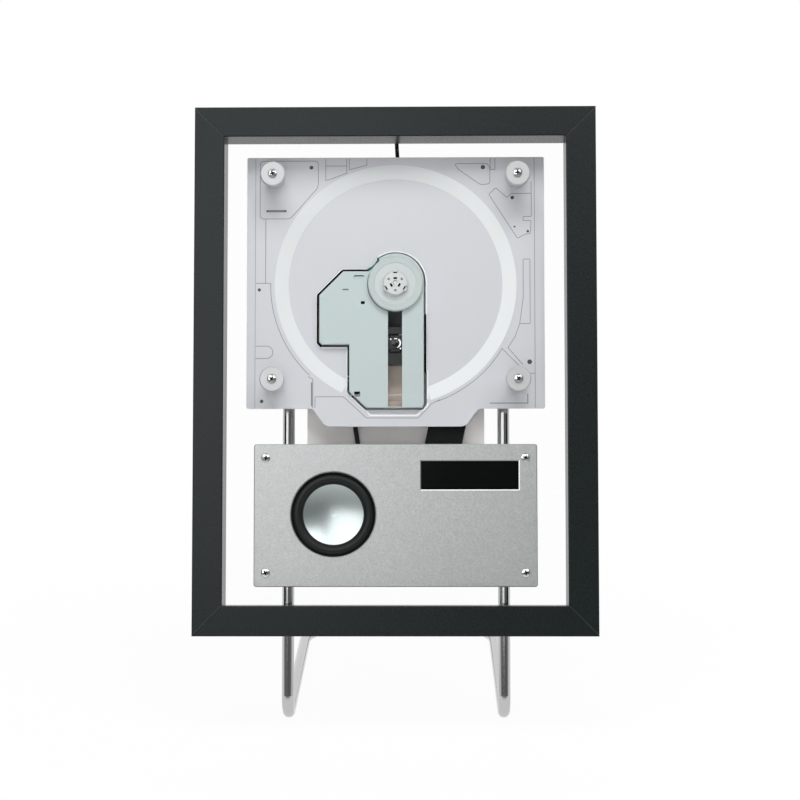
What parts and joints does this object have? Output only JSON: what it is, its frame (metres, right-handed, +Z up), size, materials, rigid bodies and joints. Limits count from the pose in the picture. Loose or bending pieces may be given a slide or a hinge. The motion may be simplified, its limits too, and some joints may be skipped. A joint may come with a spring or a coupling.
{
  "type": "wall mounted cd player",
  "caption": "Disc player built into a black picture frame: open spindle over a silver plate, lower panel with speaker and display, leaning back on a bent chrome rod stand.",
  "frame": {"origin": "centre of the base of the bounding box, on the floor", "axes": "+Z up, +Y to the back (the front faces -Y), +X to the right as seen from the front; the frame leans back by 15 degrees"},
  "size_m": [0.228, 0.2046, 0.3486],
  "materials": {
    "black_frame": "satin black powder coat, extruded",
    "galvanised": "zinc plated, machined",
    "clear": "clear acrylic sheet, polished",
    "black_rubber": "soft black rubber, matt",
    "printed_plate": "pearl silver paint with engraved lines",
    "cap_white": "silver white lacquer, turned",
    "screw_chrome": "bright nickel plated",
    "panel_silver": "silver lacquer, satin",
    "display_black": "dark tinted window, gloss",
    "board_green": "green circuit board",
    "basket_black": "pressed steel, black",
    "magnet_grey": "ferrite and zinc plated plates",
    "cone_silver": "bare pressed metal, satin",
    "housing_white": "light moulded plastic, fine texture",
    "battery_blue": "shrink sleeve",
    "black_plastic": "moulded, fine texture",
    "inlet_steel": "drawn shell, tinned",
    "key_silver": "satin silver key",
    "mechanism_silver": "silver lacquered pressing",
    "base_grey": "glass filled moulding",
    "motor_steel": "pressed can",
    "ground_steel": "ground and polished",
    "turntable_white": "moulded, light silver grey",
    "mat_grey": "light grey rubber",
    "claw_white": "moulded acetal",
    "sled_dark": "moulded dark brown grey",
    "lens_blue": "coated lens",
    "cable_black": "flat cable, semi gloss",
    "stand_chrome": "bright chrome plated rod"
  },
  "bodies": {
    "stand": {"stand_rod": "stand_chrome"},
    "player": {"aerial_wire": "cable_black", "audio_jack": "black_plastic", "battery_pack": "battery_blue", "clamp_nuts": "galvanised", "clear_sheet": "clear", "corner_keys": "galvanised", "cover_screws": "galvanised", "disc_plate": "printed_plate", "display_board": "board_green", "display_window": "display_black", "flat_cable": "cable_black", "frame_bottom_rail": "black_frame", "frame_left_rail": "black_frame", "frame_right_rail": "black_frame", "frame_top_rail": "black_frame", "front_panel": "panel_silver", "front_screws": "screw_chrome", "glazing_gasket": "black_rubber", "guide_rods": "ground_steel", "housing_screws": "galvanised", "main_board": "board_green", "mechanism_base": "base_grey", "mechanism_plate": "mechanism_silver", "motor_board": "board_green", "rear_cover": "housing_white", "rear_housing": "housing_white", "rod_saddles": "black_rubber", "rubber_dampers": "black_rubber", "service_boards": "board_green", "sled_motor": "motor_steel", "small_screws": "galvanised", "speaker_basket": "basket_black", "speaker_magnet": "magnet_grey", "speaker_surround": "black_rubber", "spindle_motor": "motor_steel", "stand_sockets": "black_plastic", "standoff_caps": "cap_white", "standoff_pillars": "cap_white", "strip_cable": "cable_black", "usb_inlet": "inlet_steel", "wire_clips": "black_plastic", "wire_grommet": "black_rubber"},
    "spindle": {"turntable": "turntable_white", "turntable_mat": "mat_grey", "disc_hub": "turntable_white", "spindle_shaft": "ground_steel"},
    "lead_screw": {"lead_screw": "ground_steel"},
    "sled": {"pickup_sled": "sled_dark"},
    "lens": {"lens_holder": "black_plastic", "objective_lens": "lens_blue"},
    "speaker_cone": {"speaker_cone": "cone_silver"},
    "claw_top": {"hub_claw_top": "claw_white"},
    "claw_left": {"hub_claw_left": "claw_white"},
    "claw_right": {"hub_claw_right": "claw_white"},
    "key_volume_down": {"key_volume_down": "key_silver"},
    "key_volume_up": {"key_volume_up": "key_silver"},
    "key_previous": {"key_previous": "key_silver"},
    "key_next": {"key_next": "key_silver"},
    "key_play": {"key_play": "key_silver"}
  },
  "joints": [
    {"name": "player_lift", "type": "slide", "parent": "stand", "child": "player", "axis": [0, 0.2588, 0.9659], "range_m": [0, 0.06]},
    {"name": "spindle_turn", "type": "hinge", "parent": "player", "child": "spindle", "pos_m": [0, -0.03611, 0.24869], "axis": [0, 0.9659, -0.2588], "continuous": true},
    {"name": "sled_slide", "type": "slide", "parent": "player", "child": "sled", "axis": [0, 0.2588, 0.9659], "range_m": [-0.0239, 0.0106]},
    {"name": "lead_screw_turn", "type": "hinge", "parent": "player", "child": "lead_screw", "pos_m": [-0.0185, -0.04212, 0.20847], "axis": [0, 0.2588, 0.9659], "range_deg": [-2900, 1300]},
    {"name": "lens_focus", "type": "slide", "parent": "sled", "child": "lens", "axis": [0, -0.9659, 0.2588], "range_m": [-0.0005, 0.0005], "stiffness_N_per_m": 60},
    {"name": "cone_travel", "type": "slide", "parent": "player", "child": "speaker_cone", "axis": [0, -0.9659, 0.2588], "range_m": [-0.0015, 0.0015], "stiffness_N_per_m": 1500, "deforming": ["speaker_surround"]},
    {"name": "claw_top_slide", "type": "slide", "parent": "spindle", "child": "claw_top", "axis": [0, 0.2588, 0.9659], "range_m": [-0.00055, 0], "stiffness_N_per_m": 400},
    {"name": "claw_left_slide", "type": "slide", "parent": "spindle", "child": "claw_left", "axis": [-0.866, -0.1294, -0.483], "range_m": [-0.00055, 0], "stiffness_N_per_m": 400},
    {"name": "claw_right_slide", "type": "slide", "parent": "spindle", "child": "claw_right", "axis": [0.866, -0.1294, -0.483], "range_m": [-0.00055, 0], "stiffness_N_per_m": 400},
    {"name": "key_volume_down_press", "type": "slide", "parent": "player", "child": "key_volume_down", "axis": [-1, 0, 0], "range_m": [0, 0.0006], "stiffness_N_per_m": 400},
    {"name": "key_volume_up_press", "type": "slide", "parent": "player", "child": "key_volume_up", "axis": [-1, 0, 0], "range_m": [0, 0.0006], "stiffness_N_per_m": 400},
    {"name": "key_previous_press", "type": "slide", "parent": "player", "child": "key_previous", "axis": [-1, 0, 0], "range_m": [0, 0.0006], "stiffness_N_per_m": 400},
    {"name": "key_next_press", "type": "slide", "parent": "player", "child": "key_next", "axis": [-1, 0, 0], "range_m": [0, 0.0006], "stiffness_N_per_m": 400},
    {"name": "key_play_press", "type": "slide", "parent": "player", "child": "key_play", "axis": [-1, 0, 0], "range_m": [0, 0.0006], "stiffness_N_per_m": 400}
  ],
  "couplings": [
    {"joint": "lead_screw_turn", "follows": "sled_slide", "rad_per_m": 2094.4}
  ]
}
